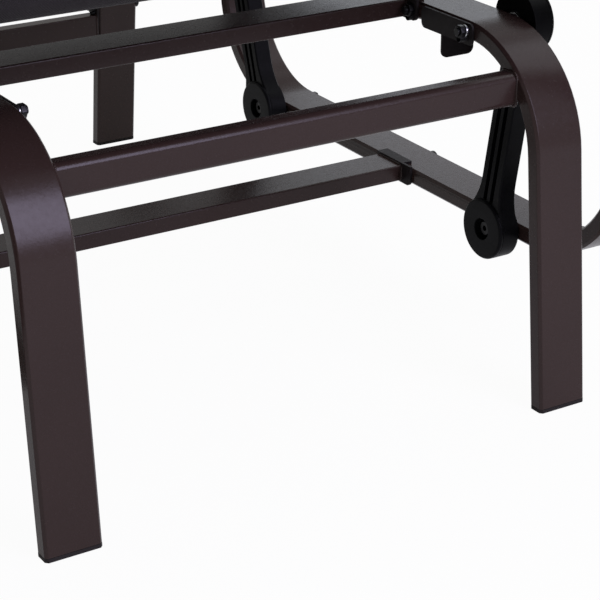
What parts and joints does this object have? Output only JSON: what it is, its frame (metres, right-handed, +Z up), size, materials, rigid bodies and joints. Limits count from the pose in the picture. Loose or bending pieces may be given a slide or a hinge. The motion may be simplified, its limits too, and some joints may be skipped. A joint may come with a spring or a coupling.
{
  "type": "glider chair",
  "caption": "Patio glider chair: bent flat-tube base, swinging link arms at the corners, and a sling seat hung between two closed side loops.",
  "frame": {"origin": "centre of the chair's footprint box, on the floor under the foot plugs", "axes": "+Z up, the sitter faces -Y, +X to the right as seen from the front"},
  "size_m": [0.646, 0.8189, 0.886],
  "materials": {
    "frame_paint": "dark brown powder coat, low sheen with a fine orange-peel texture",
    "arm_plastic": "moulded black nylon, satin with fine grain",
    "cover_plastic": "moulded black plastic covers, satin",
    "plug_plastic": "black polyethylene end plugs",
    "bush_plastic": "self-lubricating black bush",
    "black_paint": "matt black paint on the bent steel brackets",
    "black_hardware": "black oxide bolts and nuts",
    "zinc": "bright zinc plated sleeves and washers",
    "cloth": "vinyl-coated polyester mesh sling, dark brown"
  },
  "bodies": {
    "base": {"base_side_left": "frame_paint", "base_side_right": "frame_paint", "foot_plugs": "plug_plastic", "front_crossbar": "frame_paint", "upper_crossbar": "frame_paint", "rear_crossbar": "frame_paint", "upper_crossbar_brackets": "black_paint", "rear_crossbar_brackets": "black_paint", "crossbar_bolts": "black_hardware", "crossbar_nuts": "black_hardware", "stop_bracket_left": "black_paint", "stop_bracket_right": "black_paint", "upper_pivot_bolts": "black_hardware", "upper_pivot_washers": "zinc", "upper_pivot_sleeves": "zinc", "upper_pivot_nuts": "black_hardware"},
    "arm_front_left": {"link_arm_front_left": "arm_plastic", "arm_covers_front_left": "cover_plastic", "arm_bushes_front_left": "bush_plastic"},
    "arm_front_right": {"link_arm_front_right": "arm_plastic", "arm_covers_front_right": "cover_plastic", "arm_bushes_front_right": "bush_plastic"},
    "arm_rear_left": {"link_arm_rear_left": "arm_plastic", "arm_covers_rear_left": "cover_plastic", "arm_bushes_rear_left": "bush_plastic"},
    "arm_rear_right": {"link_arm_rear_right": "arm_plastic", "arm_covers_rear_right": "cover_plastic", "arm_bushes_rear_right": "bush_plastic"},
    "seat": {"seat_side_left": "frame_paint", "seat_side_right": "frame_paint", "seat_cross_rail": "frame_paint", "cross_rail_brackets": "black_paint", "cross_rail_bolts": "black_hardware", "cross_rail_nuts": "black_hardware", "lower_pivot_bolts": "black_hardware", "lower_pivot_washers": "zinc", "lower_pivot_nuts": "black_hardware", "front_tube": "frame_paint", "front_tube_inserts": "zinc", "top_tube": "frame_paint", "top_tube_caps": "plug_plastic", "sling_rail_left": "frame_paint", "sling_rail_right": "frame_paint", "seat_spreader": "frame_paint", "back_spreader": "frame_paint", "back_spacers": "frame_paint", "frame_bolts": "black_hardware", "sling": "cloth"}
  },
  "joints": [
    {"name": "glide", "type": "hinge", "parent": "base", "child": "arm_front_left", "pos_m": [-0.2595, -0.28053, 0.2965], "axis": [-1, 0, 0], "range_deg": [-14.5, 7.5]},
    {"name": "seat_pivot", "type": "hinge", "parent": "arm_front_left", "child": "seat", "pos_m": [-0.2595, -0.24632, 0.10249], "axis": [-1, 0, 0], "range_deg": [-9.4, 18.1]},
    {"name": "front_right_swing", "type": "hinge", "parent": "base", "child": "arm_front_right", "pos_m": [0.2595, -0.28053, 0.2965], "axis": [-1, 0, 0], "range_deg": [-14.5, 7.5]},
    {"name": "rear_left_swing", "type": "hinge", "parent": "base", "child": "arm_rear_left", "pos_m": [-0.2595, 0.18997, 0.2965], "axis": [-1, 0, 0], "range_deg": [-14.6, 7.6]},
    {"name": "rear_right_swing", "type": "hinge", "parent": "base", "child": "arm_rear_right", "pos_m": [0.2595, 0.18997, 0.2965], "axis": [-1, 0, 0], "range_deg": [-14.6, 7.6]}
  ],
  "couplings": [
    {"joint": "seat_pivot", "follows": "glide", "ratio": -1.2409},
    {"joint": "front_right_swing", "follows": "glide", "ratio": 1},
    {"joint": "rear_left_swing", "follows": "glide", "ratio": 1.0003},
    {"joint": "rear_right_swing", "follows": "glide", "ratio": 1.0003}
  ]
}
